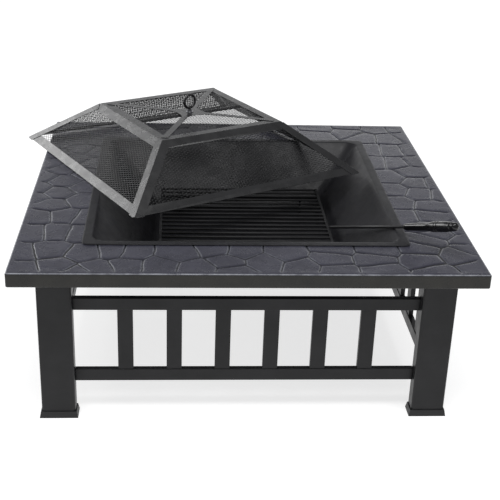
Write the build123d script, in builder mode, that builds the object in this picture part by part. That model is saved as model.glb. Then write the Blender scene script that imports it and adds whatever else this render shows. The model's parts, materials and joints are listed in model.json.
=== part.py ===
"""Square table fire pit: steel table, drop-in fire bowl, charcoal grate, poker and spark screen.

Frame: millimetres, origin on the floor under the centre of the table, +X to the right,
+Y towards the back, +Z up.  The spark screen is modelled set down askew on the table,
and the poker leaning on the bowl's rim.
"""

import math
import os

from build123d import *

# ---- table -------------------------------------------------------------------------------
table_side = 813.0  # the pressed top, over its aprons
table_height = 306.0  # floor to the top surface
apron_height = 26.0
apron_lip = 14.0  # the apron's lower edge, folded inwards
top_sheet = 1.5
top_bend = 3.0  # outside bend radius of the pressed sheets
apron_corner = 4.0  # the apron's vertical corners
opening_lip = 8.0  # turned down round the opening for the bowl
opening_corner = 26.0

# ---- legs and foot caps ------------------------------------------------------------------
leg_inset = 42.5  # the apron's face to the leg's face
leg_face = 60.0  # width of each of a leg's two faces
leg_return = 25.0  # the folded-back edge beside each face
leg_sheet = 1.5
cap_flare = 4.0  # how far a foot cap stands out at the floor
cap_wall = 1.6
cap_height = 12.0
cap_floor = 3.0
cap_gap = 0.2  # between a leg's sheet and its cap's socket

# ---- leg fixings under the top ------------------------------------------------------------
fix_plate_side = 100.0
fix_plate_sheet = 2.0
leg_plate_sheet = 2.0
stud_radius = 3.0
stud_length = 16.0
stud_hole_gap = 0.4
stud_spacing = 30.0
stud_nut_width = 10.0  # across the flats
stud_nut_height = 5.0
stud_washer_radius = 6.2
stud_washer_sheet = 1.4
thread_gap = 0.1

# ---- side frames -------------------------------------------------------------------------
rail_height = 23.0
rail_depth = 12.0
rail_wall = 1.2
rail_setback = 17.5  # a leg's face to a rail's face
upper_rail_drop = 76.0  # the top surface to the upper rail's top
lower_rail_top = 88.0
slat_count = 6
slat_end_gap = 76.0  # a leg to the nearest slat
slat_width = 27.0
slat_depth = 9.0
slat_wall = 1.0
plug_length = 12.0  # the threaded end plug inside each rail
bolt_radius = 2.5
bolt_hole_gap = 0.25
bolt_head_radius = 4.4
bolt_head_height = 3.0

# ---- fire bowl ---------------------------------------------------------------------------
rest_gap = 0.3  # between pieces that only rest on each other
bowl_opening = 550.0  # inside the rim, at the top
bowl_floor = 340.0  # the flat floor, inside
bowl_depth = 116.0
bowl_sheet = 1.2
bowl_flange = 15.0  # the rim that rests on the table
bowl_corner = 24.0
bowl_floor_corner = 16.0
flange_corner = 12.0
bowl_fit = 5.0  # side play in the table's opening

# ---- charcoal grate ----------------------------------------------------------------------
grate_wall_gap = 20.776  # the grate's right edge to the bowl's sloping wall
grate_shift = 10.0  # it sits this far to the right of the middle
grate_height = 44.0  # the bowl's floor to the top of the grate
grate_rail_width = 5.0
grate_rail_height = 10.0
grate_bar_count = 18
grate_bar_radius = 2.5
grate_tie_width = 12.0
grate_tie_sheet = 3.0
grate_foot_sheet = 4.0
grate_foot_inset = 30.0  # clear of the bowl's sloping walls

# ---- spark screen ------------------------------------------------------------------------
screen_base = 520.0
screen_top = 279.0
screen_rise = 94.0
screen_turn = 28.8  # degrees about the vertical
screen_x = -100.0
screen_y = 181.0
strip_sheet = 1.0
mesh_sheet = 1.0
base_strip_width = 18.5
rib_wing = 16.0
rib_end_gap = 4.0  # each rib stops this far short of the screen's top corner
top_strip_wing = 18.0
mesh_edge_gap = 3.0  # keeps neighbouring mesh panels apart at the folds
star_hub = 26.0  # centre of the star to the middle of its hollow sides
star_arm = 13.0  # width of the star's arms
star_flare = 74.0  # where the arms reach their full slimness
cross_rod_radius = 3.0
eye_radius = 14.0  # to the middle of the wire
eye_wire_radius = 2.8
eye_turn = 11.0  # degrees from the screen's own side
eye_stem_radius = 3.0
eye_nut_width = 10.0
eye_nut_height = 4.5
eye_washer_radius = 7.5
eye_washer_sheet = 1.2

# ---- poker -------------------------------------------------------------------------------
poker_radius = 3.0
poker_tip_y = -51.0  # where its tip lies on the grate's right rail
poker_rim_y = -215.0  # where its rod crosses the bowl's rim
poker_point = 8.0  # length of the blunt cone at the tip
grip_start = 231.0
grip_length = 136.0
grip_neck_radius = 5.2  # the collar
grip_shoulder_radius = 7.0
grip_waist_radius = 7.7
grip_bulge_radius = 9.7
grip_end_radius = 6.5
grip_collar_rise = 0.7  # how much wider the collar is where it meets the grip
grip_collar_length = 6.0
grip_hole_radius = 2.6
grip_hole_inset = 12.0  # the hanging hole, from the grip's end

# ---- worked out --------------------------------------------------------------------------
half = table_side / 2
apron_bottom = table_height - apron_height
under_top = table_height - top_sheet
leg_corner = half - leg_inset
leg_middle = leg_corner - leg_face / 2
leg_top = under_top - fix_plate_sheet
leg_bottom = cap_floor
rail_face = leg_corner - rail_setback
rail_end = leg_corner - leg_face
rail_centre = rail_face - rail_depth / 2
stud_hole_radius = stud_radius + stud_hole_gap
upper_rail_top = table_height - upper_rail_drop
slat_pitch = (2 * rail_end - slat_width - 2 * slat_end_gap) / (slat_count - 1)
rail_middles = {"upper": upper_rail_top - rail_height / 2, "lower": lower_rail_top - rail_height / 2}
flange_bottom = table_height + rest_gap
flange_top = flange_bottom + bowl_sheet
bowl_floor_top = flange_top - bowl_depth
flange_side = bowl_opening + 2 * bowl_sheet + 2 * bowl_flange
table_opening = bowl_opening + 2 * bowl_sheet + 2 * bowl_fit
wall_run = (bowl_opening - bowl_floor) / 2 / bowl_depth  # outwards for each unit up the wall
bowl_half_there = bowl_floor / 2 + wall_run * (grate_height - grate_rail_height)
grate_side = 2 * (bowl_half_there - grate_wall_gap - grate_shift)
grate_top = bowl_floor_top + grate_height
grate_rail_x = grate_side / 2 - grate_rail_width / 2
screen_z = flange_top + rest_gap
screen_angle = math.atan2(screen_rise, (screen_base - screen_top) / 2)  # side to the horizontal
screen_slope = math.hypot(screen_rise, (screen_base - screen_top) / 2)

CORNERS = {"front_left": (-1, -1), "front_right": (1, -1), "back_left": (-1, 1), "back_right": (1, 1)}
SIDES = {"front": 0, "right": 90, "back": 180, "left": 270}

os.makedirs("parts", exist_ok=True)


def write(part, name):
    """Label a finished piece and write its STEP file."""
    part.label = name
    export_step(part, f"parts/{name}.step")


# ---- the pressed table top ---------------------------------------------------------------
inner_side = table_side - 2 * top_sheet
with BuildPart() as table_top:
    with BuildSketch(Plane.XY.offset(apron_bottom)):
        RectangleRounded(table_side, table_side, apron_corner)
    extrude(amount=apron_height)
    fillet(table_top.faces().sort_by(Axis.Z)[-1].edges(), radius=top_bend)
    with BuildSketch(Plane.XY.offset(apron_bottom + top_sheet)):
        RectangleRounded(inner_side, inner_side, apron_corner - top_sheet)
    extrude(amount=apron_height - 2 * top_sheet, mode=Mode.SUBTRACT)
    with BuildSketch(Plane.XY.offset(apron_bottom)):
        Rectangle(table_side - 2 * apron_lip, table_side - 2 * apron_lip)
    extrude(amount=top_sheet, mode=Mode.SUBTRACT)
    with BuildSketch(Plane.XY.offset(under_top)):
        turned = table_opening + 2 * top_sheet
        RectangleRounded(turned, turned, opening_corner + top_sheet)
    extrude(amount=-opening_lip)
    with BuildSketch(Plane.XY.offset(table_height)):
        RectangleRounded(table_opening, table_opening, opening_corner)
    extrude(amount=-apron_height, mode=Mode.SUBTRACT)
write(table_top.part, "table_top")


# ---- legs, foot caps and their fixings ---------------------------------------------------
def leg_path(sx, sy, reach=0.0):
    """The folded section of a leg: two faces meeting at the outer corner, each with a return."""
    face = leg_corner - leg_sheet / 2
    edge = leg_corner - leg_face + leg_sheet / 2
    back = leg_corner - leg_return - reach
    points = [(edge, back), (edge, face), (face, face), (face, edge), (back, edge)]
    return [(sx * x, sy * y) for x, y in points]


def stud_places(sx, sy):
    """Two studs inside a leg, one beside each face, in plan."""
    near = leg_middle + stud_spacing / 2
    far = leg_middle - stud_spacing / 2
    return [(sx * near, sy * far), (sx * far, sy * near)]


def rail_ends_at(sx, sy):
    """Where the rails meet one leg, each plane facing out of the rail's end."""
    planes = []
    for middle in rail_middles.values():
        across = (sx * rail_end, sy * rail_centre, middle)
        planes.append(Plane(origin=across, x_dir=(0, 1, 0), z_dir=(sx, 0, 0)))
        inwards = (sx * rail_centre, sy * rail_end, middle)
        planes.append(Plane(origin=inwards, x_dir=(1, 0, 0), z_dir=(0, sy, 0)))
    return planes


stud_points = [place for sx, sy in CORNERS.values() for place in stud_places(sx, sy)]
rail_end_planes = [end for sx, sy in CORNERS.values() for end in rail_ends_at(sx, sy)]
bend_middle = top_bend - leg_sheet / 2

for corner, (sx, sy) in CORNERS.items():
    plan_middle = (sx * leg_middle, sy * leg_middle)
    with BuildPart() as leg:
        with BuildSketch(Plane.XY.offset(leg_bottom)):
            with BuildLine():
                FilletPolyline(*leg_path(sx, sy), radius=bend_middle)
            trace(line_width=leg_sheet)
        extrude(amount=leg_top - leg_bottom)
        with BuildSketch(Plane.XY.offset(leg_top)):
            with Locations(plan_middle):
                Rectangle(leg_face - leg_sheet, leg_face - leg_sheet)
            with Locations(*stud_places(sx, sy)):
                Circle(stud_hole_radius, mode=Mode.SUBTRACT)
        extrude(amount=-leg_plate_sheet)
        for end in rail_ends_at(sx, sy):
            with BuildSketch(end):
                Circle(bolt_radius + bolt_hole_gap)
            extrude(amount=2 * leg_sheet, mode=Mode.SUBTRACT)
    write(leg.part, f"leg_{corner}")

    with BuildPart() as foot_cap:
        socket_width = leg_sheet + 2 * cap_gap
        with BuildSketch():
            with BuildLine():
                Polyline(*leg_path(sx, sy, cap_gap + cap_flare))
            trace(line_width=socket_width + 2 * cap_flare)
        with BuildSketch(Plane.XY.offset(cap_height)):
            with BuildLine():
                Polyline(*leg_path(sx, sy, cap_gap + cap_wall))
            trace(line_width=socket_width + 2 * cap_wall)
        loft()
        with BuildSketch(Plane.XY.offset(cap_floor)):
            with BuildLine():
                FilletPolyline(*leg_path(sx, sy, cap_gap), radius=bend_middle)
            trace(line_width=socket_width)
        extrude(amount=cap_height, mode=Mode.SUBTRACT)
    write(foot_cap.part, f"foot_cap_{corner}")

    with BuildPart() as fix_plate:
        with BuildSketch(Plane.XY.offset(leg_top)):
            with Locations(plan_middle):
                Rectangle(fix_plate_side, fix_plate_side)
        extrude(amount=fix_plate_sheet)
        with BuildSketch(Plane.XY.offset(leg_top)):
            with Locations(*stud_places(sx, sy)):
                Circle(stud_radius)
        extrude(amount=-stud_length)
    write(fix_plate.part, f"fixing_plate_{corner}")

washer_top = leg_top - leg_plate_sheet
with BuildPart() as stud_washers:
    with BuildSketch(Plane.XY.offset(washer_top)):
        with Locations(*stud_points):
            Circle(stud_washer_radius)
            Circle(stud_hole_radius, mode=Mode.SUBTRACT)
    extrude(amount=-stud_washer_sheet)
write(stud_washers.part, "stud_washers")

with BuildPart() as stud_nuts:
    with BuildSketch(Plane.XY.offset(washer_top - stud_washer_sheet)):
        with Locations(*stud_points):
            RegularPolygon(stud_nut_width / 2, 6, major_radius=False)
            Circle(stud_radius + thread_gap, mode=Mode.SUBTRACT)
    extrude(amount=-stud_nut_height)
write(stud_nuts.part, "stud_nuts")


# ---- side frames: two rails and their slats on each side ---------------------------------
def side_plane(turn, forward, height):
    """A plane facing out of the side at `turn` degrees, x along the side and y up."""
    out = Vector(0, -1, 0).rotate(Axis.Z, turn)
    along = Vector(1, 0, 0).rotate(Axis.Z, turn)
    return Plane(origin=out * forward + Vector(0, 0, height), x_dir=along, z_dir=out)


slat_length = upper_rail_top - rail_height - lower_rail_top
slat_middle = lower_rail_top + slat_length / 2
slat_row = GridLocations(slat_pitch, 1, slat_count, 1)

for side, turn in SIDES.items():
    for level, middle in rail_middles.items():
        with BuildPart() as rail:
            with BuildSketch(side_plane(turn, rail_face, middle)):
                Rectangle(2 * rail_end, rail_height)
            extrude(amount=-rail_depth)
            with BuildSketch(side_plane(turn, rail_face - rail_wall, middle)):
                Rectangle(2 * rail_end, rail_height - 2 * rail_wall)
            extrude(amount=2 * rail_wall - rail_depth, mode=Mode.SUBTRACT)
        write(rail.part, f"{level}_rail_{side}")

    with BuildPart() as slats:
        slat_face = rail_face - (rail_depth - slat_depth) / 2
        with BuildSketch(side_plane(turn, slat_face, slat_middle)):
            with slat_row:
                Rectangle(slat_width, slat_length)
        extrude(amount=-slat_depth)
        with BuildSketch(side_plane(turn, slat_face - slat_wall, slat_middle)):
            with slat_row:
                Rectangle(slat_width - 2 * slat_wall, slat_length)
        extrude(amount=2 * slat_wall - slat_depth, mode=Mode.SUBTRACT)
    write(slats.part, f"slats_{side}")


with BuildPart() as rail_plugs:
    for end in rail_end_planes:
        with BuildSketch(end):
            Rectangle(rail_depth - 2 * rail_wall, rail_height - 2 * rail_wall)
            Circle(bolt_radius + thread_gap, mode=Mode.SUBTRACT)
        extrude(amount=-plug_length)
write(rail_plugs.part, "rail_end_plugs")

with BuildPart() as rail_bolts:
    for end in rail_end_planes:
        with BuildSketch(end.offset(leg_sheet)):
            Circle(bolt_head_radius)
        extrude(amount=bolt_head_height)
        with BuildSketch(end.offset(leg_sheet)):
            Circle(bolt_radius)
        extrude(amount=-leg_sheet - plug_length)
write(rail_bolts.part, "rail_bolts")


# ---- fire bowl ---------------------------------------------------------------------------
with BuildPart() as fire_bowl:
    with BuildSketch(Plane.XY.offset(bowl_floor_top - bowl_sheet)):
        outer_floor = bowl_floor + 2 * bowl_sheet
        RectangleRounded(outer_floor, outer_floor, bowl_floor_corner)
    with BuildSketch(Plane.XY.offset(flange_bottom)):
        outer_rim = bowl_opening + 2 * bowl_sheet
        RectangleRounded(outer_rim, outer_rim, bowl_corner)
    loft()
    with BuildSketch(Plane.XY.offset(flange_bottom)):
        RectangleRounded(flange_side, flange_side, flange_corner)
    extrude(amount=bowl_sheet)
    with BuildSketch(Plane.XY.offset(bowl_floor_top)):
        RectangleRounded(bowl_floor, bowl_floor, bowl_floor_corner - bowl_sheet)
    with BuildSketch(Plane.XY.offset(flange_top)):
        RectangleRounded(bowl_opening, bowl_opening, bowl_corner - bowl_sheet)
    loft(mode=Mode.SUBTRACT)
write(fire_bowl.part, "fire_bowl")


# ---- charcoal grate ----------------------------------------------------------------------
bar_length = grate_side - 2 * grate_rail_width
bar_pitch = (grate_side - 2 * grate_bar_radius) / (grate_bar_count - 1)
bar_z = grate_top - grate_bar_radius
rail_bottom = grate_top - grate_rail_height
grate_foot_bottom = bowl_floor_top + rest_gap
grate_foot_y = grate_side / 2 - grate_foot_inset
grate_foot_x = grate_side / 2 - grate_foot_inset - grate_shift

for side, way in {"left": -1, "right": 1}.items():
    with BuildPart() as grate_rail:
        with BuildSketch(Plane.XY.offset(rail_bottom)):
            with Locations((grate_shift + way * grate_rail_x, 0)):
                Rectangle(grate_rail_width, grate_side)
        extrude(amount=grate_rail_height)
    write(grate_rail.part, f"grate_rail_{side}")

with BuildPart() as grate_bars:
    with BuildSketch(Plane.YZ.offset(grate_shift - bar_length / 2)):
        with Locations((0, bar_z)):
            with GridLocations(bar_pitch, 1, grate_bar_count, 1):
                Circle(grate_bar_radius)
    extrude(amount=bar_length)
write(grate_bars.part, "grate_bars")

with BuildPart() as grate_ties:
    with BuildSketch(Plane.XY.offset(rail_bottom)):
        with Locations((grate_shift, 0)):
            with GridLocations(1, 2 * grate_foot_y, 1, 2):
                Rectangle(bar_length, grate_tie_width)
    extrude(amount=grate_tie_sheet)
write(grate_ties.part, "grate_ties")

with BuildPart() as grate_feet:
    with BuildSketch(Plane.XY.offset(rail_bottom)):
        with Locations((grate_shift, 0)):
            with GridLocations(2 * grate_foot_x, 2 * grate_foot_y, 2, 2):
                Rectangle(grate_foot_sheet, grate_tie_width)
    extrude(amount=grate_foot_bottom - rail_bottom)
write(grate_feet.part, "grate_feet")


# ---- poker, leaning on the rim with its tip on the grate ----------------------------------
tip_x = grate_shift + grate_rail_x
rim_x = bowl_opening / 2
rim_slope = (flange_top - grate_top) / (rim_x - tip_x)
lift_off_edge = (poker_radius + rest_gap) * math.hypot(1, rim_slope)
poker_tip = Vector(tip_x, poker_tip_y, grate_top + lift_off_edge)
poker_rim = Vector(rim_x, poker_rim_y, flange_top + lift_off_edge)
poker_line = (poker_rim - poker_tip).normalized()
poker_side = Vector(0, 0, 1).cross(poker_line).normalized()


def poker_plane(along):
    """A plane across the poker, this far from its tip."""
    return Plane(origin=poker_tip + poker_line * along, x_dir=poker_side, z_dir=poker_line)


with BuildPart() as poker_rod:
    with BuildSketch(poker_plane(0)):
        Circle(poker_radius / 2)
    with BuildSketch(poker_plane(poker_point)):
        Circle(poker_radius)
    loft()
    with BuildSketch(poker_plane(poker_point)):
        Circle(poker_radius)
    extrude(amount=grip_start - poker_point)
write(poker_rod.part, "poker_rod")

grip_end = grip_start + grip_length
grip_body_start = grip_start + grip_collar_length
grip_side_plane = Plane(
    origin=poker_tip + poker_line * grip_body_start,
    x_dir=poker_line,
    z_dir=poker_side.cross(poker_line) * -1,
)
with BuildPart() as poker_collar:
    with BuildSketch(poker_plane(grip_start)):
        Circle(grip_neck_radius)
    with BuildSketch(poker_plane(grip_body_start)):
        Circle(grip_neck_radius + grip_collar_rise)
    loft()
write(poker_collar.part, "poker_collar")

body_length = grip_length - grip_collar_length
with BuildPart() as poker_grip:
    with BuildSketch(grip_side_plane):
        with BuildLine():
            Spline(
                (0, grip_shoulder_radius),
                (body_length * 0.3, grip_waist_radius),
                (body_length * 0.68, grip_bulge_radius),
                (body_length, grip_end_radius),
            )
            Polyline(
                (body_length, grip_end_radius),
                (body_length, 0),
                (0, 0),
                (0, grip_shoulder_radius),
            )
        make_face()
    revolve(axis=Axis(grip_side_plane.origin, poker_line))
    tip_edge = poker_grip.edges().sort_by(Axis(poker_tip, poker_line))[-1]
    fillet(tip_edge, radius=grip_end_radius * 0.6)
    hole_middle = poker_tip + poker_line * (grip_end - grip_hole_inset)
    with BuildSketch(Plane(hole_middle, z_dir=poker_side)):
        Circle(grip_hole_radius)
    extrude(amount=2 * grip_bulge_radius, both=True, mode=Mode.SUBTRACT)
write(poker_grip.part, "poker_grip")


# ---- spark screen ------------------------------------------------------------------------
screen_x_dir = Vector(1, 0, 0).rotate(Axis.Z, screen_turn)
screen_plane = Plane(origin=(screen_x, screen_y, screen_z), x_dir=screen_x_dir, z_dir=(0, 0, 1))


def screen_side(height, out=0.0):
    """The screen's width at a height above its base, its sides moved outwards by `out`."""
    taper = (screen_base - screen_top) / screen_rise
    return screen_base - taper * height + 2 * out / math.sin(screen_angle)


def slope_plane(turn, out=0.0):
    """On one sloping side: origin in the middle of its base, x along it and y up the slope."""
    outward = screen_x_dir.rotate(Axis.Z, turn - 90)
    along = screen_x_dir.rotate(Axis.Z, turn)
    normal = outward * math.sin(screen_angle) + Vector(0, 0, math.cos(screen_angle))
    foot = screen_plane.origin + outward * (screen_base / 2) + normal * out
    return Plane(origin=foot, x_dir=along, z_dir=normal)


def slope_strip(low, high, edge_gap=0.0):
    """The outline on a sloping side between two distances up the slope."""
    taper = (screen_base - screen_top) / 2 / screen_slope
    wide = screen_base / 2 - taper * low - edge_gap
    slim = screen_base / 2 - taper * high - edge_gap
    return [(-wide, low), (wide, low), (slim, high), (-slim, high)]


for side, turn in SIDES.items():
    with BuildPart() as mesh_panel:
        with BuildSketch(slope_plane(turn)):
            Polygon(*slope_strip(mesh_edge_gap, screen_slope - mesh_edge_gap, mesh_edge_gap), align=None)
        extrude(amount=-mesh_sheet)
    write(mesh_panel.part, f"screen_mesh_{side}")

    with BuildPart() as base_strip:
        with BuildSketch(slope_plane(turn)):
            Polygon(*slope_strip(0, base_strip_width), align=None)
        extrude(amount=strip_sheet)
    write(base_strip.part, f"screen_base_strip_{side}")

with BuildPart() as top_mesh:
    with BuildSketch(screen_plane.offset(screen_rise)):
        Rectangle(screen_top - 2 * mesh_edge_gap, screen_top - 2 * mesh_edge_gap)
    extrude(amount=-mesh_sheet)
write(top_mesh.part, "screen_mesh_top")

top_strip_drop = top_strip_wing * math.sin(screen_angle)
with BuildPart() as top_frame:
    low = screen_rise - top_strip_drop
    with BuildSketch(screen_plane.offset(low)):
        Rectangle(screen_side(low, strip_sheet), screen_side(low, strip_sheet))
    with BuildSketch(screen_plane.offset(screen_rise + strip_sheet)):
        crown = screen_side(screen_rise + strip_sheet, strip_sheet)
        Rectangle(crown, crown)
    loft()
    with BuildSketch(screen_plane.offset(low)):
        Rectangle(screen_side(low), screen_side(low))
    with BuildSketch(screen_plane.offset(screen_rise)):
        Rectangle(screen_top, screen_top)
    loft(mode=Mode.SUBTRACT)
    with BuildSketch(screen_plane.offset(screen_rise - strip_sheet)):
        window = screen_top - 2 * top_strip_wing
        Rectangle(window, window)
    extrude(amount=3 * strip_sheet, mode=Mode.SUBTRACT)
write(top_frame.part, "screen_top_frame")

# each corner rib is an angle strip lying over the ends of the base strips and the top frame
ridge_half = math.acos(math.cos(screen_angle) ** 2) / 2
rib_low = strip_sheet / math.cos(ridge_half)
rib_high = 2 * strip_sheet / math.cos(ridge_half)


def rib_outline():
    """The angle strip's section, y out of the ridge."""
    cos, sin = math.cos(ridge_half), math.sin(ridge_half)
    wing = [(rib_wing * cos + n * sin, -rib_wing * sin + n * cos) for n in (strip_sheet, 2 * strip_sheet)]
    right = [(0, rib_high), wing[1], wing[0], (0, rib_low)]
    return right + [(-x, y) for x, y in reversed(right[1:3])]


for corner, (sx, sy) in CORNERS.items():
    across = screen_plane.x_dir * sx + screen_plane.y_dir * sy
    low_end = screen_plane.origin + across * (screen_base / 2)
    high_end = screen_plane.origin + across * (screen_top / 2) + Vector(0, 0, screen_rise)
    ridge = high_end - low_end
    level = Vector(0, 0, 1).cross(ridge).normalized()
    with BuildPart() as rib:
        with BuildSketch(Plane(origin=low_end, x_dir=level, z_dir=ridge.normalized())):
            Polygon(*rib_outline(), align=None)
        extrude(amount=ridge.length - rib_end_gap)
        split(bisect_by=screen_plane, keep=Keep.TOP)
    write(rib.part, f"screen_rib_{corner}")

star_z = screen_rise + strip_sheet
star_tip = screen_top / 2 * math.sqrt(2) - rib_wing
with BuildPart() as star_plate:
    with BuildSketch(screen_plane.offset(star_z)):
        with Locations(Rotation(0, 0, 45), Rotation(0, 0, -45)):
            Rectangle(2 * star_tip, star_arm)
        with BuildLine():
            for quarter in range(4):
                start = Vector(star_flare, star_arm / 2).rotate(Axis.Z, 90 * quarter - 45)
                middle = Vector(star_hub, 0).rotate(Axis.Z, 90 * quarter)
                finish = Vector(star_flare, -star_arm / 2).rotate(Axis.Z, 90 * quarter + 45)
                ThreePointArc(start, middle, finish)
                Line(finish, Vector(star_flare, star_arm / 2).rotate(Axis.Z, 90 * quarter + 45))
        make_face()
    extrude(amount=strip_sheet)
    with BuildSketch(screen_plane.offset(star_z)):
        Circle(eye_stem_radius + thread_gap)
    extrude(amount=strip_sheet, mode=Mode.SUBTRACT)
write(star_plate.part, "screen_star_plate")

# the rod runs under the mesh's top, its ends under the top frame
with BuildPart() as cross_rod:
    rod_z = screen_rise - mesh_sheet - cross_rod_radius
    rod_length = screen_top - 2 * top_strip_wing + 2 * cross_rod_radius
    rod_start = screen_plane.origin - screen_x_dir * (rod_length / 2) + Vector(0, 0, rod_z)
    with BuildSketch(Plane(origin=rod_start, x_dir=(0, 0, 1), z_dir=screen_x_dir)):
        Circle(cross_rod_radius)
    extrude(amount=rod_length)
write(cross_rod.part, "screen_cross_rod")

washer_z = star_z + strip_sheet
nut_z = washer_z + eye_washer_sheet
with BuildPart() as eye_washer:
    with BuildSketch(screen_plane.offset(washer_z)):
        Circle(eye_washer_radius)
        Circle(eye_stem_radius + thread_gap, mode=Mode.SUBTRACT)
    extrude(amount=eye_washer_sheet)
write(eye_washer.part, "screen_eye_washer")

with BuildPart() as eye_nut:
    with BuildSketch(screen_plane.offset(nut_z)):
        RegularPolygon(eye_nut_width / 2, 6, major_radius=False)
        Circle(eye_stem_radius + thread_gap, mode=Mode.SUBTRACT)
    extrude(amount=eye_nut_height)
write(eye_nut.part, "screen_eye_nut")

eye_foot = nut_z + eye_nut_height
eye_middle = eye_foot + eye_radius + eye_wire_radius
eye_dir = screen_x_dir.rotate(Axis.Z, eye_turn)
with BuildPart() as eye_ring:
    eye_centre = screen_plane.origin + Vector(0, 0, eye_middle)
    eye_plane = Plane(origin=eye_centre, x_dir=eye_dir, z_dir=(0, 0, 1))
    with BuildSketch(eye_plane):
        with Locations((eye_radius, 0)):
            Circle(eye_wire_radius)
    revolve(axis=Axis(eye_plane.origin, eye_plane.y_dir))
    with BuildSketch(screen_plane.offset(star_z)):
        Circle(eye_stem_radius)
    extrude(amount=eye_foot - star_z + eye_wire_radius)
write(eye_ring.part, "screen_eye_ring")
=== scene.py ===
import json
import math

import bmesh
import bpy
import numpy as np
from mathutils import Matrix, Vector, noise
from mathutils.geometry import delaunay_2d_cdt


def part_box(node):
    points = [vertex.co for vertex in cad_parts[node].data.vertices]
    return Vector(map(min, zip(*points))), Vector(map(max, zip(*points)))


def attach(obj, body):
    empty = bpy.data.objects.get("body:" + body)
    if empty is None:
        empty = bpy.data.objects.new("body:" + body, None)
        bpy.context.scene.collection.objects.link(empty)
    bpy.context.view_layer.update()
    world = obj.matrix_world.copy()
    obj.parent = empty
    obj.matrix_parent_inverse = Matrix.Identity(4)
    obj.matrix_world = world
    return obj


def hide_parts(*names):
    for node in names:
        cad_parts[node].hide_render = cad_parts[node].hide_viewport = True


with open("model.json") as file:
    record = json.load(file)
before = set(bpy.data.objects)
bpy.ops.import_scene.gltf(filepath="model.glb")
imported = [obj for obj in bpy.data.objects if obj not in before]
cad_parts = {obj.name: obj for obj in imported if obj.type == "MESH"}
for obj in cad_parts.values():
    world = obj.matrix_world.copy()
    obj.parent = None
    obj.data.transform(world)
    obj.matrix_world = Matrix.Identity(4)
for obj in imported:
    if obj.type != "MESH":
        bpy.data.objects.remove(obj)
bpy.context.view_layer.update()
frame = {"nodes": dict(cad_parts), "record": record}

MM = 0.001
UP = Vector((0, 0, 1))
SIDES = ("front", "right", "back", "left")


# ---- small helpers for meshes -------------------------------------------------------------
def finish_piece(name, bm, body, material, replaced=(), crease=35):
    """Turns a bmesh into a smooth-shaded piece that rides on a body; crease is in degrees."""
    mesh = bpy.data.meshes.new(name)
    bm.to_mesh(mesh)
    bm.free()
    mesh.materials.append(material)
    mesh.shade_smooth()
    mesh.set_sharp_from_angle(angle=math.radians(crease))
    piece = bpy.data.objects.new(name, mesh)
    bpy.context.scene.collection.objects.link(piece)
    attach(piece, body)
    if replaced:
        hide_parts(*replaced)
    return piece


def rounded_square(half, radius, steps=8, corner_steps=6):
    """Points round a square with rounded corners, anticlockwise, the same count for any size."""
    points = []
    flat = half - radius
    for quarter in range(4):
        turn = Matrix.Rotation(quarter * math.pi / 2, 2)
        for i in range(steps):
            points.append(turn @ Vector((half, -flat + 2 * flat * i / steps)))
        for i in range(corner_steps):
            angle = math.pi / 2 * i / corner_steps
            points.append(
                turn @ Vector((flat + radius * math.cos(angle), flat + radius * math.sin(angle)))
            )
    return points


def loop_of(bm, points, z):
    """New vertices at one height."""
    return [bm.verts.new((p.x, p.y, z)) for p in points]


def skin(bm, outer, inner):
    """Quads between two closed loops of the same count."""
    count = len(outer)
    for i in range(count):
        j = (i + 1) % count
        bm.faces.new((outer[i], outer[j], inner[j], inner[i]))


def solidify(piece, thickness, offset=-1.0):
    change = piece.modifiers.new("sheet", "SOLIDIFY")
    change.thickness = thickness
    change.offset = offset
    change.use_even_offset = False


def bevel(piece, width, segments=2, angle=30):
    """Welds a CAD mesh's seams and rounds its sharp edges."""
    weld = piece.modifiers.new("weld", "WELD")
    weld.merge_threshold = 0.00001
    change = piece.modifiers.new("edges", "BEVEL")
    change.width = width
    change.segments = segments
    change.limit_method = "ANGLE"
    change.angle_limit = math.radians(angle)
    change.use_clamp_overlap = True
    change.harden_normals = True


def long_axis(node):
    """(start, end) of a long round CAD node, from its vertices."""
    points = np.array([v.co[:] for v in frame["nodes"][node].data.vertices])
    middle = points.mean(axis=0)
    line = np.linalg.svd(points - middle, full_matrices=False)[2][0]
    along = (points - middle) @ line
    return Vector(middle + line * along.min()), Vector(middle + line * along.max())


# ---- small helpers for materials ----------------------------------------------------------
def add(tree, kind, inputs=None, **settings):
    """A new shader node; an input is a number, a colour or another node's output."""
    made = tree.nodes.new(kind)
    for key, value in settings.items():
        setattr(made, key, value)
    for key, value in (inputs or {}).items():
        if isinstance(value, bpy.types.NodeSocket):
            tree.links.new(value, made.inputs[key])
        else:
            made.inputs[key].default_value = value
    return made


def grain(tree, place, scale, detail=3.0, roughness=0.5, distortion=0.0):
    """Noise from 0 to 1; scale is in cycles per metre."""
    settings = {"Scale": scale, "Detail": detail, "Roughness": roughness, "Distortion": distortion}
    return add(tree, "ShaderNodeTexNoise", {"Vector": place, **settings}).outputs["Fac"]


def spread(tree, value, low, high, to_low=0.0, to_high=1.0):
    """Maps low..high to to_low..to_high, clamped."""
    limits = {"From Min": low, "From Max": high, "To Min": to_low, "To Max": to_high}
    return add(tree, "ShaderNodeMapRange", {"Value": value, **limits}).outputs["Result"]


def maths(tree, kind, first, second):
    return add(tree, "ShaderNodeMath", {0: first, 1: second}, operation=kind).outputs[0]


def blend_colour(tree, share, first, second):
    made = add(tree, "ShaderNodeMix", {0: share}, data_type="RGBA")
    for index, value in ((6, first), (7, second)):
        if isinstance(value, bpy.types.NodeSocket):
            tree.links.new(value, made.inputs[index])
        else:
            made.inputs[index].default_value = (*value, 1)
    return made.outputs[2]


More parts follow.
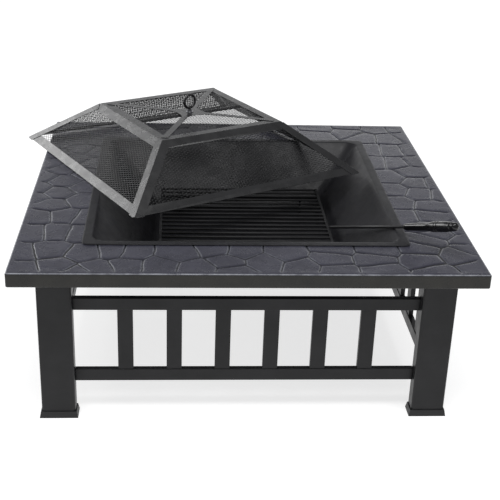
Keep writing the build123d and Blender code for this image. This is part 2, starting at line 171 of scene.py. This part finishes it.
def edge_mask(tree, radius):
    """1 on outer edges, 0 on flat surface."""
    rounded = add(tree, "ShaderNodeBevel", {"Radius": radius}, samples=4).outputs["Normal"]
    plain = add(tree, "ShaderNodeNewGeometry").outputs["Normal"]
    dot = add(tree, "ShaderNodeVectorMath", {0: rounded, 1: plain}, operation="DOT_PRODUCT")
    return spread(tree, dot.outputs["Value"], 0.995, 0.8)


def new_material(name):
    material = bpy.data.materials.new(name)
    material.use_nodes = True
    tree = material.node_tree
    place = add(tree, "ShaderNodeTexCoord").outputs["Object"]
    return material, tree, tree.nodes["Principled BSDF"], place


def coat(
    name, colour, roughness, peel=0.25, peel_scale=650, mottle=0.3, wear=0.4, edge=0.0012, gloss=0.4
):
    """Painted or powder-coated metal: mottled colour, fine orange peel, edges rubbed lighter."""
    material, tree, shader, place = new_material(name)
    dark = [c * (1 - mottle) for c in colour]
    light = [c * (1 + mottle) for c in colour]
    clouds = spread(tree, grain(tree, place, 14, 4, 0.6), 0.3, 0.7)
    base = blend_colour(tree, clouds, dark, light)
    rubbed = spread(tree, grain(tree, place, 130, 4, 0.65), 0.42, 0.68)
    mask = maths(tree, "MULTIPLY", edge_mask(tree, edge), rubbed)
    mask = maths(tree, "MULTIPLY", mask, wear)
    lightening = [min(1, c * 4 + 0.05) for c in colour]
    tree.links.new(blend_colour(tree, mask, base, lightening), shader.inputs["Base Color"])
    smears = grain(tree, place, 38, 4, 0.6, 0.6)
    tree.links.new(
        spread(tree, smears, 0.3, 0.7, roughness - 0.06, roughness + 0.08), shader.inputs["Roughness"]
    )
    fine = grain(tree, place, peel_scale, 2, 0.5)
    bump = add(tree, "ShaderNodeBump", {"Strength": peel, "Distance": 0.0003, "Height": fine})
    tree.links.new(bump.outputs["Normal"], shader.inputs["Normal"])
    shader.inputs["Specular IOR Level"].default_value = gloss
    return material


SLATE_DARK = (0.023, 0.023, 0.033)
SLATE_LIGHT = (0.046, 0.046, 0.063)
SLATE_JOINT = (0.008, 0.008, 0.011)
# rubbed paint on edges, and a painted highlight on side-facing joint lips and the apron's top bend
SLATE_WEAR_AND_HIGHLIGHT = (0.26, 0.27, 0.30)
# painted shade: the darker olive-black that the apron's faces get in place of the slate colour
APRON_SHADE_DARK = (0.010, 0.010, 0.009)
APRON_SHADE_LIGHT = (0.020, 0.019, 0.016)


def slate_material():
    """The pressed top's satin enamel: slate grain, dark joints, paint rubbed off edges, a painted
    highlight on side-facing joint lips and the apron's top bend, and painted shade on the apron.
    """
    material, tree, shader, place = new_material("slate_enamel")
    joint = add(tree, "ShaderNodeAttribute", attribute_name="joint").outputs["Fac"]
    tint = add(tree, "ShaderNodeAttribute", attribute_name="stone").outputs["Fac"]
    clouds = spread(tree, grain(tree, place, 22, 6, 0.65, 0.4), 0.3, 0.7)
    base = blend_colour(tree, clouds, SLATE_DARK, SLATE_LIGHT)
    stone = blend_colour(tree, maths(tree, "MULTIPLY", tint, 0.35), base, SLATE_LIGHT)
    stone = blend_colour(tree, maths(tree, "MULTIPLY", joint, 0.75), stone, SLATE_JOINT)
    # painted shade: the apron and the opening's turned-down sheet are darkened to olive-black
    apron = add(tree, "ShaderNodeAttribute", attribute_name="apron").outputs["Fac"]
    apron_shade = blend_colour(tree, clouds, APRON_SHADE_DARK, APRON_SHADE_LIGHT)
    stone = blend_colour(tree, apron, stone, apron_shade)
    # painted highlight: the upper edges of joints that face the sides and the top of the apron's bend
    # are lightened in patches; the edge mask is rubbed paint
    lip_highlight = add(tree, "ShaderNodeAttribute", attribute_name="lip_highlight").outputs["Fac"]
    rubbed = spread(tree, grain(tree, place, 240, 5, 0.7), 0.45, 0.72)
    mask = maths(tree, "MULTIPLY", edge_mask(tree, 0.0016), rubbed)
    mask = maths(tree, "MULTIPLY", mask, 0.4)
    patches = spread(tree, grain(tree, place, 60, 4, 0.6), 0.35, 0.65, 0.25, 1.0)
    lightening = maths(tree, "MULTIPLY", lip_highlight, patches)
    mask = maths(tree, "MAXIMUM", mask, lightening)
    tree.links.new(blend_colour(tree, mask, stone, SLATE_WEAR_AND_HIGHLIGHT), shader.inputs["Base Color"])
    smears = grain(tree, place, 55, 5, 0.6, 0.8)
    tree.links.new(spread(tree, smears, 0.3, 0.7, 0.24, 0.34), shader.inputs["Roughness"])
    cleft = grain(tree, place, 90, 7, 0.62, 0.5)
    fine = grain(tree, place, 900, 2, 0.5)
    height = maths(tree, "ADD", cleft, maths(tree, "MULTIPLY", fine, 0.12))
    bump = add(tree, "ShaderNodeBump", {"Strength": 0.3, "Distance": 0.0014, "Height": height})
    tree.links.new(bump.outputs["Normal"], shader.inputs["Normal"])
    gloss = add(tree, "ShaderNodeMapRange", {"Value": apron, "To Min": 0.36, "To Max": 0.3})
    tree.links.new(gloss.outputs["Result"], shader.inputs["Specular IOR Level"])
    return material


BLACK = (0.012, 0.012, 0.013)

slate = slate_material()
frame_paint = coat("frame_powder_coat", BLACK, 0.36, peel=0.3, wear=0.4, gloss=0.25)
cap_plastic = coat("cap_plastic", (0.012, 0.012, 0.013), 0.5, peel=0.5, peel_scale=1400, wear=0.15)
zinc = coat("zinc_plate", (0.38, 0.38, 0.4), 0.3, peel=0.15, mottle=0.15, wear=0.1)
zinc.node_tree.nodes["Principled BSDF"].inputs["Metallic"].default_value = 1.0
bowl_paint = coat(
    "bowl_stove_paint", (0.011, 0.011, 0.013), 0.42, peel=0.3, peel_scale=800, mottle=0.3, gloss=0.25
)
grate_paint = coat("grate_paint", (0.014, 0.014, 0.015), 0.5, peel=0.4, mottle=0.4, wear=0.4, gloss=0.2)
grip_gloss = coat(
    "grip_gloss", (0.005, 0.005, 0.006), 0.16, peel=0.06, mottle=0.1, wear=0.05, gloss=0.45
)
rod_paint = coat("poker_paint", (0.016, 0.016, 0.017), 0.32, peel=0.3, wear=0.6)
mesh_paint = coat(
    "mesh_paint", (0.007, 0.007, 0.008), 0.3, peel=0.2, wear=0.15, edge=0.0003, gloss=0.35
)
ring_paint = coat("ring_paint", (0.010, 0.010, 0.011), 0.25, peel=0.2, wear=0.3)
strip_paint = coat(
    "screen_strip_paint", (0.012, 0.012, 0.013), 0.28, peel=0.25, wear=0.4, gloss=0.55
)

SLOT_MATERIALS = {
    "stone_pattern_steel": slate,
    "frame_black": frame_paint,
    "cap_plastic": cap_plastic,
    "zinc_hardware": zinc,
    "bowl_black": bowl_paint,
    "grate_steel": grate_paint,
    "grip_black": grip_gloss,
    "poker_steel": rod_paint,
    "screen_mesh": mesh_paint,
    "screen_ring": ring_paint,
    "screen_frame": strip_paint,
}

# ---- the CAD pieces that stay ------------------------------------------------------------
RAIL_ROUNDING = 1.4 * MM
EDGE_ROUNDING = {
    "frame_black": 0.5 * MM,
    "cap_plastic": 0.5 * MM,
    "zinc_hardware": 0.3 * MM,
    "grate_steel": 0.4 * MM,
    "poker_steel": 0.3 * MM,
    "screen_ring": 0.3 * MM,
    "screen_frame": 0.25 * MM,
}
for part in frame["record"]["subparts"]:
    piece = frame["nodes"][part["node"]]
    piece.data.materials.clear()
    piece.data.materials.append(SLOT_MATERIALS[part["material_slot"]])
    if "_rail_" in part["node"] and part["material_slot"] == "frame_black":
        bevel(piece, RAIL_ROUNDING, segments=4)
    elif part["material_slot"] in EDGE_ROUNDING:
        bevel(piece, EDGE_ROUNDING[part["material_slot"]])

# ---- the pressed stone-pattern top -------------------------------------------------------
# one point in each pressed stone, in millimetres, going round from the front
STONES = (
    (-343, -312), (-392, -322), (-285, -325), (-325, -372), (-385, -388), (-258, -378),
    (-290, -400), (-205, -322), (-232, -318), (-212, -365), (-152, -368), (-125, -325),
    (-92, -378), (-42, -350), (-55, -308), (-15, -312), (25, -358), (-25, -398),
    (65, -318), (88, -372), (142, -340), (150, -300), (146, -390), (225, -300),
    (213, -342), (222, -388), (300, -345), (318, -395), (392, -378), (368, -325),
    (308, -296), (398, -295),
    (328, -262), (350, -225), (400, -262), (345, -205), (358, -147), (305, -150),
    (402, -205), (308, -78), (370, -98), (362, -32), (308, -12), (403, -40),
    (367, 30), (315, 63), (404, 28), (372, 95), (343, 148), (300, 152),
    (396, 158), (348, 230), (305, 232), (398, 230), (355, 312), (303, 318),
    (404, 325), (335, 382), (396, 390),
    (270, 355), (275, 395), (190, 330), (200, 385), (110, 320), (115, 375),
    (35, 335), (25, 390), (-50, 315), (-55, 372), (-130, 340), (-140, 392),
    (-210, 318), (-215, 375), (-290, 335), (-295, 392), (-360, 310), (-375, 375),
    (-338, -230), (-386, -235), (-297, -236), (-333, -158), (-385, -162), (-292, -165),
    (-365, -103), (-305, -80), (-358, -42), (-400, -68), (-402, -20), (-308, -8),
    (-350, 22), (-396, 50), (-362, 90), (-305, 60), (-395, 120), (-340, 150),
    (-300, 125), (-385, 185), (-330, 215), (-395, 250), (-345, 275), (-298, 200),
    (-300, 270),
)
JOINT_STEPS = (0.0, 0.9, 2.2, 4.0, 7.0)  # mm from a joint's middle where its slope changes
JOINT_DROPS = (2.3, 2.05, 0.95, 0.3, 0.0)  # mm below the stones there

top_low, top_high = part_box("table_top")
half = top_high.x / MM
top_z = top_high.z / MM
apron_z = top_low.z / MM
TOP_SHEET = 1.5
TOP_BEND = 3.0
APRON_CORNER = 4.0
APRON_LIP = 14.0
OPENING_HALF = 281.2
OPENING_CORNER = 26.0
OPENING_BEND = 2.0
OPENING_DROP = 9.5
FLAT_EDGE = 9.0  # the joints run out this far from the top's outer edge

sites = [Vector(p) for p in STONES]
rows = np.array(STONES, float)


def joint_distance(x, y):
    """(nearest stone, distance to the middle of its nearest joint), in millimetres."""
    squares = ((rows - (x, y)) ** 2).sum(axis=1)
    own = int(squares.argmin())
    apart = np.hypot(*(rows - rows[own]).T)
    apart[own] = 1e9
    gaps = (squares - squares[own]) / (2 * apart)
    gaps[own] = 1e9
    return own, float(gaps.min())


def stone_outline(own, inset):
    """A stone's outline, moved inwards by inset, inside the area that carries joints."""
    limit = half - FLAT_EDGE
    outline = [Vector(p) for p in ((-limit, -limit), (limit, -limit), (limit, limit), (-limit, limit))]
    here = sites[own]
    for other, there in enumerate(sites):
        if other == own or (there - here).length > 260:
            continue
        way = (there - here).normalized()
        reach = (there - here).length / 2 - inset
        clipped = []
        for i, p in enumerate(outline):
            q = outline[(i + 1) % len(outline)]
            dp, dq = (p - here).dot(way) - reach, (q - here).dot(way) - reach
            if dp <= 0:
                clipped.append(p)
            if dp * dq < 0:
                clipped.append(p.lerp(q, dp / (dp - dq)))
        outline = clipped
        if len(outline) < 3:
            return []
    return outline


def smooth(value, low, high):
    share = min(1.0, max(0.0, (value - low) / (high - low)))
    return share * share * (3 - 2 * share)


def stone_height(x, y):
    """(drop below the top's highest level, joint share 0..1, stone number) at a point."""
    own, gap = joint_distance(x, y)
    gap *= 1 + 0.35 * noise.noise(Vector((x / 55, y / 55, 3.1)))
    drop = float(np.interp(gap, JOINT_STEPS, JOINT_DROPS))
    edge = half - max(abs(x), abs(y))
    fade = smooth(edge, FLAT_EDGE - 1, FLAT_EDGE + 7)
    here = sites[own]
    lean = Vector((noise.noise(Vector((own * 1.7, 0.3, 0))), noise.noise(Vector((0.7, own * 2.3, 0)))))
    tilt = lean.dot(Vector((x, y)) - here) * 0.018
    level = 0.25 + 0.25 * noise.noise(Vector((own * 3.1, 9.2, 1.5)))
    ripple = 0.3 * (1 + noise.noise(Vector((x / 17, y / 17, 0)))) * 0.5
    body = smooth(gap, 2.0, 9.0)
    total = drop + body * max(0.0, level + tilt + ripple)
    return min(2.5, max(0.0, total)) * fade, (1 - smooth(gap, 0.6, 3.4)) * fade, own


def lip_highlight_share(x, y):
    """How much painted highlight a point gets, 0 to 0.5: its share of a joint's upper edge that faces
    the sides.
    """
    own, gap = joint_distance(x, y)
    squares = ((rows - (x, y)) ** 2).sum(axis=1)
    squares[own] = 1e12
    way = (sites[int(squares.argmin())] - sites[own]).normalized()
    edge = half - max(abs(x), abs(y))
    band = smooth(gap, 0.7, 2.0) * (1 - smooth(gap, 2.6, 4.0))
    return 0.5 * band * smooth(abs(way.x), 0.35, 0.8) * smooth(edge, FLAT_EDGE - 1, FLAT_EDGE + 5)


def wander(x, y):
    """How far the joints stray from straight lines at a point, in millimetres."""
    edge = half - max(abs(x), abs(y))
    inner = max(abs(x), abs(y)) - OPENING_HALF
    fade = smooth(edge, 3, 30) * smooth(inner, 3, 30)
    out = Vector((0, 0))
    for size, length, seed in ((3.4, 48, 0.0), (1.3, 15, 7.0)):
        out.x += size * noise.noise(Vector((x / length, y / length, seed)))
        out.y += size * noise.noise(Vector((x / length, y / length, seed + 3.7)))
    return out * fade


def inside_rounded(x, y, size, radius):
    ax, ay = abs(x), abs(y)
    if max(ax, ay) > size:
        return False
    flat = size - radius
    return min(ax, ay) < flat or math.hypot(ax - flat, ay - flat) <= radius or max(ax, ay) < flat


def top_points():
    """The plan of the top as constrained points and edges, and its two boundary loops."""
    points, edges = [], []

    def closed(loop, step):
        first = len(points)
        for i, p in enumerate(loop):
            q = loop[(i + 1) % len(loop)]
            parts = max(1, round((q - p).length / step))
            points.extend(p.lerp(q, k / parts) for k in range(parts))
        count = len(points) - first
        edges.extend((first + i, first + (i + 1) % count) for i in range(count))

    outer = rounded_square(half - TOP_BEND, APRON_CORNER - TOP_BEND, 100, 4)
    inner = rounded_square(OPENING_HALF + OPENING_BEND, OPENING_CORNER + OPENING_BEND, 64, 8)
    for loop in (outer, inner):
        closed(loop, 1000)
    for own in range(len(sites)):
        for inset in JOINT_STEPS:
            outline = stone_outline(own, inset)
            if outline:
                closed(outline, 6.5)
    rim = half - FLAT_EDGE
    for i in np.arange(-rim, rim, 12.5):
        for j in np.arange(-rim, rim, 12.5):
            x = i + 4 * noise.noise(Vector((i, j, 1.0)))
            y = j + 4 * noise.noise(Vector((i, j, 5.0)))
            if max(abs(x), abs(y)) > OPENING_HALF - 8 and joint_distance(x, y)[1] > 9:
                points.append(Vector((x, y)))
    return points, edges, len(outer), len(inner)


def build_top():
    points, edges, outer_count, inner_count = top_points()
    coords, _, faces, origins, _, _ = delaunay_2d_cdt(points, edges, [], 0, 0.01, True)
    bm = bmesh.new()
    joint = bm.verts.layers.float.new("joint")
    stone = bm.verts.layers.float.new("stone")
    apron = bm.verts.layers.float.new("apron")
    lip_highlight = bm.verts.layers.float.new("lip_highlight")
    verts = []
    boundary = {}
    for index, p in enumerate(coords):
        on_edge = [i for i in origins[index] if i < outer_count + inner_count]
        if on_edge:
            boundary[on_edge[0]] = index
            drop, share, own = 0.0, 0.0, joint_distance(p.x, p.y)[0]
            shift = Vector((0, 0))
        else:
            drop, share, own = stone_height(p.x, p.y)
            shift = wander(p.x, p.y)
        vert = bm.verts.new(((p.x + shift.x) * MM, (p.y + shift.y) * MM, (top_z - drop) * MM))
        vert[joint] = share
        # painted highlight on the upper edges of joints that face the sides
        vert[lip_highlight] = 0.0 if on_edge else lip_highlight_share(p.x, p.y)
        vert[stone] = 0.5 + 0.5 * noise.noise(Vector((own * 5.3, 2.2, 0.4)))
        verts.append(vert)
    hole_size, hole_corner = OPENING_HALF + OPENING_BEND, OPENING_CORNER + OPENING_BEND
    for face in faces:
        middle = sum((coords[i] for i in face), Vector((0, 0))) / len(face)
        if not inside_rounded(middle.x, middle.y, hole_size - 0.05, hole_corner):
            made = bm.faces.new([verts[i] for i in face])
            if made.normal.z < 0:
                made.normal_flip()
    for vert in [v for v in bm.verts if not v.link_faces]:
        bm.verts.remove(vert)

    # the outer edge bends down into the apron, whose foot is folded inwards
    previous = [verts[boundary[i]] for i in range(outer_count)]
    turns = np.radians((18, 36, 54, 72, 90))
    profile = [(TOP_BEND * math.sin(a), TOP_BEND * (1 - math.cos(a))) for a in turns]
    profile += [(TOP_BEND, d) for d in (7, 12, 17)]
    rings = [(half - TOP_BEND + out, top_z - down) for out, down in profile]
    rings.append((half, apron_z + 2))
    fold = np.radians((30, 60, 90))
    rings += [(half - 2 + 2 * math.cos(a), apron_z + 2 - 2 * math.sin(a)) for a in fold]
    rings.append((half - APRON_LIP, apron_z))
    for size, z in rings:
        radius = max(0.6, APRON_CORNER - (half - size))
        ring = rounded_square(size * MM, radius * MM, 100, 4)
        fresh = loop_of(bm, ring, z * MM)
        for vert in fresh:
            # the apron share gives this band painted shade and lower gloss in the material
            vert[apron] = smooth(top_z - z, 0.5, TOP_BEND)
            # a painted highlight line along the top of the bend into the apron
            vert[lip_highlight] = 0.95 * (1 - smooth(abs(top_z - z - 0.6), 0.2, 1.2))
        skin(bm, fresh, previous)
        previous = fresh

    # round the opening the sheet turns down
    previous = [verts[boundary[outer_count + i]] for i in range(inner_count)]
    rings = [
        (OPENING_HALF + OPENING_BEND * (1 - math.sin(a)), top_z - OPENING_BEND * (1 - math.cos(a)))
        for a in np.radians((30, 60, 90))
    ]
    rings.append((OPENING_HALF, top_z - OPENING_DROP))
    for size, z in rings:
        radius = OPENING_CORNER + size - OPENING_HALF
        fresh = loop_of(bm, rounded_square(size * MM, radius * MM, 64, 8), z * MM)
        for vert in fresh:
            # the turned-down sheet round the opening gets the apron's painted shade too
            vert[apron] = 1.0
        skin(bm, previous, fresh)
        previous = fresh
    bmesh.ops.dissolve_degenerate(bm, dist=0.02 * MM, edges=bm.edges)
    piece = finish_piece(
        "stone_pattern_top", bm, "table", slate, ["table_top"], crease=50
    )
    solidify(piece, TOP_SHEET * MM)


build_top()


# ---- the fire bowl -----------------------------------------------------------------------
BOWL_OPENING_HALF = 275.0
BOWL_FLOOR_HALF = 170.0
BOWL_SHEET = 1.2
BOWL_BEND = 4.0  # where the wall turns out into the rim
BOWL_FLOOR_BEND = 12.0  # where the wall turns in to the floor
BOWL_CORNER = 23.0
BOWL_FLOOR_CORNER = 15.0
BOWL_RIM_CORNER = 12.0


def build_bowl():
    low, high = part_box("fire_bowl")
    rim, rim_z, floor_z = high.x / MM, high.z / MM, low.z / MM + BOWL_SHEET
    opening, floor_half = BOWL_OPENING_HALF, BOWL_FLOOR_HALF
    bend, floor_bend = BOWL_BEND, BOWL_FLOOR_BEND
    run, rise = opening - floor_half, rim_z - floor_z
    slope = math.atan2(rise, run)
    reach = bend * math.tan(slope / 2)
    floor_reach = floor_bend * math.tan(slope / 2)
    profile = [(rim - 0.15, rim_z - 0.9), (rim, rim_z - 0.45), (rim - 0.35, rim_z), (rim - 3, rim_z)]
    profile.append(((rim + opening) / 2, rim_z))
    for i in range(5):
        a = slope * i / 4
        profile.append((opening + reach - bend * math.sin(a), rim_z - bend * (1 - math.cos(a))))
    wall_top = Vector(profile[-1])
    curve = []
    for i in range(7):
        a = slope * (1 - i / 6)
        size = floor_half - floor_reach + floor_bend * math.sin(a)
        curve.append((size, floor_z + floor_bend * (1 - math.cos(a))))
    profile += [tuple(wall_top.lerp(Vector(curve[0]), i / 14)) for i in range(1, 14)]
    profile += curve
    profile += [(size, floor_z) for size in (floor_half - 30, floor_half - 60, 60, 20)]
    bm = bmesh.new()
    previous = None
    for size, z in profile:
        share = min(1.0, max(0.0, (z - floor_z) / rise))
        if size <= opening + reach:
            radius = min(BOWL_FLOOR_CORNER + (BOWL_CORNER - BOWL_FLOOR_CORNER) * share, size * 0.9)
        else:
            out = (size - opening) / (rim - opening)
            radius = BOWL_CORNER + (BOWL_RIM_CORNER - BOWL_CORNER) * out
        ring = rounded_square(size, radius, 26, 7)
        fresh = []
        wall = smooth(share, 0.05, 0.3) * (1 - smooth(share, 0.75, 0.97))  # the pressed wall's waviness
        for p in ring:
            ripple = 0.5 * wall * noise.noise(Vector((p.x / 90, p.y / 90, z / 90)))
            out = Vector((p.x, p.y)).normalized() * ripple
            fresh.append(bm.verts.new(((p.x + out.x) * MM, (p.y + out.y) * MM, z * MM)))
        if previous:
            skin(bm, previous, fresh)
        previous = fresh
    bm.faces.new(previous)
    piece = finish_piece(
        "fire_bowl_pressing", bm, "bowl", bowl_paint, ["fire_bowl"], crease=60
    )
    solidify(piece, BOWL_SHEET * MM)


build_bowl()


# ---- the poker's handle ------------------------------------------------------------------
# radii in millimetres
GRIP_FRONT = 7.0
GRIP_BACK = 9.5
GRIP_RING_GROOVE = 8.6
GRIP_END_GROOVE = 7.6
GRIP_TAIL = 8.2
GRIP_ROUND = 5.5  # length of the rounded end


def build_grip():
    """A turned handle: a slim front, a fatter back with three rings, a rounded end."""
    start, end = long_axis("poker_grip")
    rod_end = max(long_axis("poker_rod"), key=lambda p: p.z)
    if (start - rod_end).length > (end - rod_end).length:
        start, end = end, start
    way = (end - start).normalized()
    length = (end - start).length / MM
    side = way.cross(UP).normalized()
    top = side.cross(way)
    profile = [(0.0, 6.0), (0.5, 6.9), (2.0, GRIP_FRONT)]
    for i in range(1, 25):
        x = 2.0 + (length * 0.6 - 2.0) * i / 24
        t = x / length
        profile.append((x, GRIP_FRONT + 0.5 * smooth(t, 0.0, 0.3) + 2.0 * smooth(t, 0.4, 0.56)))
    for ring in (0.615, 0.66):
        x = length * ring
        profile += [(x - 1.4, GRIP_BACK), (x - 1.0, GRIP_RING_GROOVE)]
        profile += [(x + 0.2, GRIP_RING_GROOVE), (x + 0.6, GRIP_BACK)]
    for i in range(1, 13):
        x = length * (0.675 + 0.225 * i / 12)
        profile.append((x, 9.6 - 1.3 * smooth(x / length, 0.78, 0.91)))
    profile += [(length * 0.905, GRIP_END_GROOVE), (length * 0.915, GRIP_END_GROOVE)]
    profile.append((length * 0.92, GRIP_TAIL))
    for i in range(1, 6):
        x = length * 0.92 + (length * 0.08 - GRIP_ROUND) * i / 5
        profile.append((x, GRIP_TAIL - 0.12 * i))
    last = profile[-1][1]
    for a in np.radians((20, 40, 58, 74, 86)):
        profile.append((length - GRIP_ROUND + GRIP_ROUND * math.sin(a), last * math.cos(a) ** 0.6))
    bm = bmesh.new()
    previous = None
    count = 40
    for x, radius in profile:
        middle = start + way * (x * MM)
        fresh = []
        for i in range(count):
            a = 2 * math.pi * i / count
            fresh.append(bm.verts.new(middle + (side * math.cos(a) + top * math.sin(a)) * radius * MM))
        if previous:
            skin(bm, previous, fresh)
        else:
            bm.faces.new(list(reversed(fresh)))
        previous = fresh
    bm.faces.new(previous)
    bmesh.ops.recalc_face_normals(bm, faces=bm.faces)
    finish_piece("poker_handle", bm, "poker", grip_gloss, ["poker_grip"], crease=50)


build_grip()


# ---- the spark screen's expanded metal ---------------------------------------------------
LONG_WAY = 12.0 * MM
SHORT_WAY = 6.0 * MM
STRAND = 0.75 * MM
STRAND_SHEET = 0.4 * MM
STRAND_LEAN = 0.18 * MM


def panel_outline(node):
    """The outer face of a flat CAD panel: (corners, normal)."""
    mesh = frame["nodes"][node].data
    best = {}
    for face in mesh.polygons:
        if face.normal.z > 0.2:
            key = tuple(round(c, 2) for c in face.normal)
            best.setdefault(key, []).append(face)
    faces = max(best.values(), key=lambda group: sum(f.area for f in group))
    corners = {}
    for face in faces:
        for index in face.vertices:
            p = mesh.vertices[index].co
            corners[tuple(round(c, 5) for c in p)] = p.copy()
    return list(corners.values()), faces[0].normal.copy()


def build_mesh_panel(name):
    corners, normal = panel_outline(name)
    if abs(normal.z) > 0.99:
        middle = sum(corners, Vector((0, 0, 0))) / len(corners)
        corners.sort(key=lambda p: math.atan2(p.y - middle.y, p.x - middle.x))
    else:
        corners.sort(key=lambda p: p.z)
    along = (corners[1] - corners[0]).normalized()
    base = (corners[0] + corners[1]) / 2
    upward = normal.cross(along).normalized()
    if (sum(corners, Vector((0, 0, 0))) / 4 - base).dot(upward) < 0:
        along = -along
        upward = -upward
    flat = [((p - base).dot(along), (p - base).dot(upward)) for p in corners]
    tall = max(v for _, v in flat)
    wide = max(abs(u) for u, v in flat if v < tall / 2)
    slim = max(abs(u) for u, v in flat if v > tall / 2)
    angle = math.atan2(SHORT_WAY, LONG_WAY)
    tip_u = STRAND / 2 / math.sin(angle)
    tip_v = STRAND / 2 / math.cos(angle)
    rows_up = int(tall / (SHORT_WAY / 2))
    bm = bmesh.new()
    bonds = {}
    for j in range(1, rows_up):
        v = j * SHORT_WAY / 2
        reach = wide + (slim - wide) * v / tall - tip_u
        count = int(reach / (LONG_WAY / 2)) + 1
        for i in range(-count, count + 1):
            u = i * LONG_WAY / 2
            if (i + j) % 2 or abs(u) > reach:
                continue
            spots = ((tip_u, 0, 0), (0, tip_v, STRAND_LEAN), (-tip_u, 0, 0), (0, -tip_v, -STRAND_LEAN))
            bonds[i, j] = [
                bm.verts.new(base + along * (u + du) + upward * (v + dv) + normal * (dn - 0.5 * MM))
                for du, dv, dn in spots
            ]
    for (i, j), (right, above, left, below) in bonds.items():
        bm.faces.new((right, above, left, below))
        for way in (1, -1):
            there = bonds.get((i + way, j + 1))
            if there and way == 1:
                bm.faces.new((right, there[3], there[2], above))
            if there and way == -1:
                bm.faces.new((above, there[0], there[3], left))
    bm.normal_update()
    made = name.replace("mesh", "expanded_mesh")
    piece = finish_piece(made, bm, "screen", mesh_paint, [name], crease=20)
    solidify(piece, STRAND_SHEET, offset=0.0)


for side in SIDES:
    build_mesh_panel(f"screen_mesh_{side}")
build_mesh_panel("screen_mesh_top")


# ---- floor, light and camera -------------------------------------------------------------
def build_floor():
    bm = bmesh.new()
    bmesh.ops.create_grid(bm, x_segments=8, y_segments=8, size=12)
    material, tree, shader, place = new_material("studio_floor")
    paper = grain(tree, place, 3, 3)
    pale = blend_colour(tree, paper, (0.46, 0.46, 0.46), (0.50, 0.50, 0.50))
    tree.links.new(pale, shader.inputs["Base Color"])
    shader.inputs["Roughness"].default_value = 0.9
    shader.inputs["Specular IOR Level"].default_value = 0.1
    shader.inputs["Emission Color"].default_value = (1, 1, 1, 1)
    shader.inputs["Emission Strength"].default_value = 0.72
    mesh = bpy.data.meshes.new("studio_floor")
    bm.to_mesh(mesh)
    bm.free()
    mesh.materials.append(material)
    floor = bpy.data.objects.new("studio_floor", mesh)
    bpy.context.scene.collection.objects.link(floor)


def area_light(name, place, target, size, power):
    lamp = bpy.data.lights.new(name, "AREA")
    lamp.shape = "RECTANGLE"
    lamp.size, lamp.size_y = size
    lamp.energy = power
    made = bpy.data.objects.new(name, lamp)
    made.location = place
    made.rotation_euler = (Vector(target) - Vector(place)).to_track_quat("-Z", "Y").to_euler()
    bpy.context.scene.collection.objects.link(made)


build_floor()
world = bpy.data.worlds.new("studio")
bpy.context.scene.world = world
world.use_nodes = True
world.node_tree.nodes["Background"].inputs["Color"].default_value = (0.97, 0.98, 1.0, 1)
world.node_tree.nodes["Background"].inputs["Strength"].default_value = 0.3
area_light("overhead", (0.1, -1.3, 3.1), (0, 0, 0.3), (3.2, 1.0), 85)
area_light("back", (0, 4.6, 0.9), (0, 0, 0.4), (9.5, 1.6), 46)
area_light("left", (-3.3, 2.0, 1.75), (-0.2, 0, 0.35), (2.6, 1.5), 62)

camera = bpy.data.objects.new("camera", bpy.data.cameras.new("camera"))
camera.data.lens = 76.26
camera.data.sensor_width = 36
camera.data.clip_end = 100
yaw, pitch, roll = (math.radians(a) for a in (4.266, 24.516, 2.083))
forward = Vector((math.sin(yaw) * math.cos(pitch), math.cos(yaw) * math.cos(pitch), -math.sin(pitch)))
level = Vector((math.cos(yaw), -math.sin(yaw), 0))
upright = level.cross(forward)
right = level * math.cos(roll) + upright * math.sin(roll)
above = upright * math.cos(roll) - level * math.sin(roll)
pose = Matrix((right, above, -forward)).transposed().to_4x4()
pose.translation = (-0.1227, -1.9844, 1.0724)
camera.matrix_world = pose
bpy.context.scene.collection.objects.link(camera)
bpy.context.scene.camera = camera
bpy.context.scene.view_settings.view_transform = "Standard"
